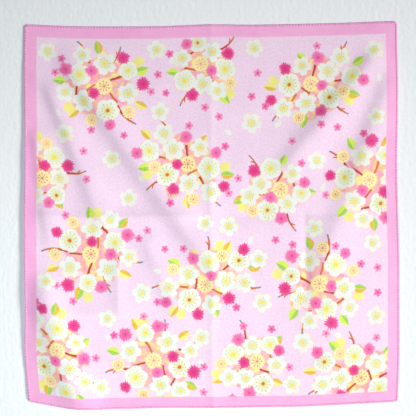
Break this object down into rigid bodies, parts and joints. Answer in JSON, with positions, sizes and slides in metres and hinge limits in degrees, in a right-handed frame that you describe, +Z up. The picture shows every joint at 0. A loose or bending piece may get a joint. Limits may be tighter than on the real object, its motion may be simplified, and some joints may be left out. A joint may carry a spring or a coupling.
{
  "type": "handkerchief",
  "caption": "Square printed cotton handkerchief, opened out and hanging flat from its top corners, with a rolled hem, crossing fold creases and soft furrows.",
  "frame": {"origin": "middle of the top edge, on the side of the cloth that faces the wall it hangs against", "axes": "+Z up along the hanging cloth, +X to the right as seen from the printed side, +Y from the cloth into the wall behind it"},
  "size_m": [0.4825, 0.0154, 0.4988],
  "materials": {
    "printed_cotton": "thin plain-weave cotton, pale pink with a flower print and a deeper pink border",
    "edge_thread": "overlocked polyester thread in deeper pink"
  },
  "bodies": {
    "root": {"handkerchief": "printed_cotton"}
  },
  "joints": []
}
